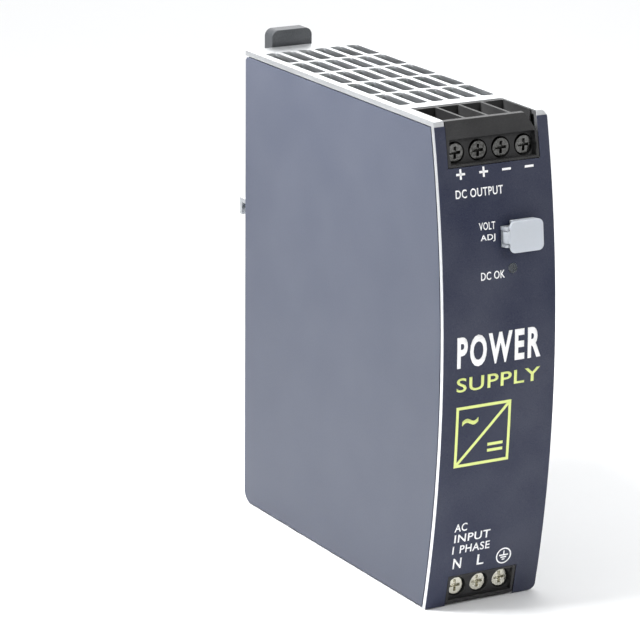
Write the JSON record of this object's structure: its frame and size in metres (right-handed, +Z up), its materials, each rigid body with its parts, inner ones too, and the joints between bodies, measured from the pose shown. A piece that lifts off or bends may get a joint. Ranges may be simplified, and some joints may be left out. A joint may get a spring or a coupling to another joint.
{
  "type": "din rail power supply",
  "caption": "Slim metal-cased power supply that snaps on a 35 mm rail, with screw terminals at top and bottom and a sprung release foot.",
  "frame": {"origin": "below the middle of the whole object, on the plane of its underside", "axes": "+Z up along the height of the case, -Y out of the front, +X to the right as the front is seen"},
  "size_m": [0.032, 0.1118, 0.128],
  "materials": {
    "case_aluminium": "satin",
    "cover_steel": "satin",
    "front_film": "satin",
    "insulation_film": "matte",
    "zinc_steel": "satin",
    "terminal_black": "matte",
    "clamp_steel": "satin",
    "tinned_copper": "satin",
    "flap_clear": "gloss",
    "trimmer_blue": "matte",
    "white_plastic": "matte",
    "led_green": "gloss",
    "light_clear": "gloss",
    "board_green": "satin",
    "chip_black": "matte",
    "fuse_brown": "gloss",
    "varistor_blue": "satin",
    "limiter_green": "satin",
    "film_capacitor_yellow": "satin",
    "ferrite_grey": "matte",
    "enamelled_copper": "gloss",
    "y_capacitor_blue": "satin",
    "capacitor_sleeve": "gloss",
    "bobbin_black": "matte",
    "winding_tape": "satin",
    "sink_aluminium": "satin",
    "slider_black": "matte",
    "latch_cream": "satin",
    "spring_steel": "satin"
  },
  "bodies": {
    "case": {"case_body": "case_aluminium", "side_cover": "cover_steel", "front_film": "front_film", "insulation_sheet": "insulation_film", "cover_screws": "zinc_steel", "output_block": "terminal_black", "input_block": "terminal_black", "current_bars": "tinned_copper", "earth_strap": "tinned_copper", "flap_frame": "flap_clear", "flap_pin": "zinc_steel", "trimmer_body": "trimmer_blue", "status_led": "led_green", "light_pipe": "light_clear", "main_board": "board_green", "terminal_boards": "board_green", "front_board": "board_green", "control_board": "board_green", "board_chips": "chip_black", "board_standoffs": "zinc_steel", "board_screws": "zinc_steel", "input_fuse": "fuse_brown", "surge_varistor": "varistor_blue", "inrush_limiter": "limiter_green", "x_capacitors": "film_capacitor_yellow", "choke_core": "ferrite_grey", "choke_windings": "enamelled_copper", "y_capacitors": "y_capacitor_blue", "bridge_rectifier": "chip_black", "bulk_capacitors": "capacitor_sleeve", "transformer_core": "ferrite_grey", "transformer_bobbin": "bobbin_black", "transformer_windings": "winding_tape", "primary_heatsink": "sink_aluminium", "switch_transistor": "chip_black", "secondary_heatsink": "sink_aluminium", "rectifier_diodes": "chip_black", "output_inductor": "enamelled_copper", "output_capacitors": "capacitor_sleeve", "foot_bracket": "zinc_steel", "release_spring": "spring_steel", "foot_rivets": "zinc_steel"},
    "release": {"release_slider": "slider_black", "rail_latch": "latch_cream"},
    "flap": {"adjuster_flap": "flap_clear"},
    "trimmer": {"trimmer_rotor": "white_plastic"},
    "output_screw_body_1": {"output_screw_1": "zinc_steel"},
    "output_clamp_body_1": {"output_clamp_1": "clamp_steel"},
    "output_screw_body_2": {"output_screw_2": "zinc_steel"},
    "output_clamp_body_2": {"output_clamp_2": "clamp_steel"},
    "output_screw_body_3": {"output_screw_3": "zinc_steel"},
    "output_clamp_body_3": {"output_clamp_3": "clamp_steel"},
    "output_screw_body_4": {"output_screw_4": "zinc_steel"},
    "output_clamp_body_4": {"output_clamp_4": "clamp_steel"},
    "input_screw_body_1": {"input_screw_1": "zinc_steel"},
    "input_clamp_body_1": {"input_clamp_1": "clamp_steel"},
    "input_screw_body_2": {"input_screw_2": "zinc_steel"},
    "input_clamp_body_2": {"input_clamp_2": "clamp_steel"},
    "input_screw_body_3": {"input_screw_3": "zinc_steel"},
    "input_clamp_body_3": {"input_clamp_3": "clamp_steel"}
  },
  "joints": [
    {"name": "release_slide", "type": "slide", "parent": "case", "child": "release", "axis": [0, 0, -1], "range_m": [0, 0.0036], "stiffness_N_per_m": 2000, "springref_m": -0.003, "deforming": ["release_spring"]},
    {"name": "flap_hinge", "type": "hinge", "parent": "case", "child": "flap", "pos_m": [0.0016, -0.05372, 0.09497], "axis": [0, -0.1114, -0.9938], "range_deg": [0, 100]},
    {"name": "trimmer_turn", "type": "hinge", "parent": "case", "child": "trimmer", "pos_m": [0.0057, -0.04808, 0.0948], "axis": [0, 1, 0], "range_deg": [-130, 130]},
    {"name": "output_screw_1_turn", "type": "hinge", "parent": "case", "child": "output_screw_body_1", "pos_m": [-0.00975, -0.0491, 0.1158], "axis": [0, 1, 0], "range_deg": [0, 2160]},
    {"name": "output_clamp_1_slide", "type": "slide", "parent": "case", "child": "output_clamp_body_1", "axis": [0, -1, 0], "range_m": [0, 0.003]},
    {"name": "output_screw_2_turn", "type": "hinge", "parent": "case", "child": "output_screw_body_2", "pos_m": [-0.00325, -0.0491, 0.1158], "axis": [0, 1, 0], "range_deg": [0, 2160]},
    {"name": "output_clamp_2_slide", "type": "slide", "parent": "case", "child": "output_clamp_body_2", "axis": [0, -1, 0], "range_m": [0, 0.003]},
    {"name": "output_screw_3_turn", "type": "hinge", "parent": "case", "child": "output_screw_body_3", "pos_m": [0.00325, -0.0491, 0.1158], "axis": [0, 1, 0], "range_deg": [0, 2160]},
    {"name": "output_clamp_3_slide", "type": "slide", "parent": "case", "child": "output_clamp_body_3", "axis": [0, -1, 0], "range_m": [0, 0.003]},
    {"name": "output_screw_4_turn", "type": "hinge", "parent": "case", "child": "output_screw_body_4", "pos_m": [0.00975, -0.0491, 0.1158], "axis": [0, 1, 0], "range_deg": [0, 2160]},
    {"name": "output_clamp_4_slide", "type": "slide", "parent": "case", "child": "output_clamp_body_4", "axis": [0, -1, 0], "range_m": [0, 0.003]},
    {"name": "input_screw_1_turn", "type": "hinge", "parent": "case", "child": "input_screw_body_1", "pos_m": [-0.007, -0.04841, 0.0046], "axis": [0, 1, 0], "range_deg": [0, 2160]},
    {"name": "input_clamp_1_slide", "type": "slide", "parent": "case", "child": "input_clamp_body_1", "axis": [0, -1, 0], "range_m": [0, 0.003]},
    {"name": "input_screw_2_turn", "type": "hinge", "parent": "case", "child": "input_screw_body_2", "pos_m": [-0.0005, -0.04841, 0.0046], "axis": [0, 1, 0], "range_deg": [0, 2160]},
    {"name": "input_clamp_2_slide", "type": "slide", "parent": "case", "child": "input_clamp_body_2", "axis": [0, -1, 0], "range_m": [0, 0.003]},
    {"name": "input_screw_3_turn", "type": "hinge", "parent": "case", "child": "input_screw_body_3", "pos_m": [0.006, -0.04841, 0.0046], "axis": [0, 1, 0], "range_deg": [0, 2160]},
    {"name": "input_clamp_3_slide", "type": "slide", "parent": "case", "child": "input_clamp_body_3", "axis": [0, -1, 0], "range_m": [0, 0.003]}
  ],
  "couplings": [
    {"joint": "output_screw_1_turn", "follows": "output_clamp_1_slide", "rad_per_m": 12566},
    {"joint": "output_screw_2_turn", "follows": "output_clamp_2_slide", "rad_per_m": 12566},
    {"joint": "output_screw_3_turn", "follows": "output_clamp_3_slide", "rad_per_m": 12566},
    {"joint": "output_screw_4_turn", "follows": "output_clamp_4_slide", "rad_per_m": 12566},
    {"joint": "input_screw_1_turn", "follows": "input_clamp_1_slide", "rad_per_m": 12566},
    {"joint": "input_screw_2_turn", "follows": "input_clamp_2_slide", "rad_per_m": 12566},
    {"joint": "input_screw_3_turn", "follows": "input_clamp_3_slide", "rad_per_m": 12566}
  ]
}
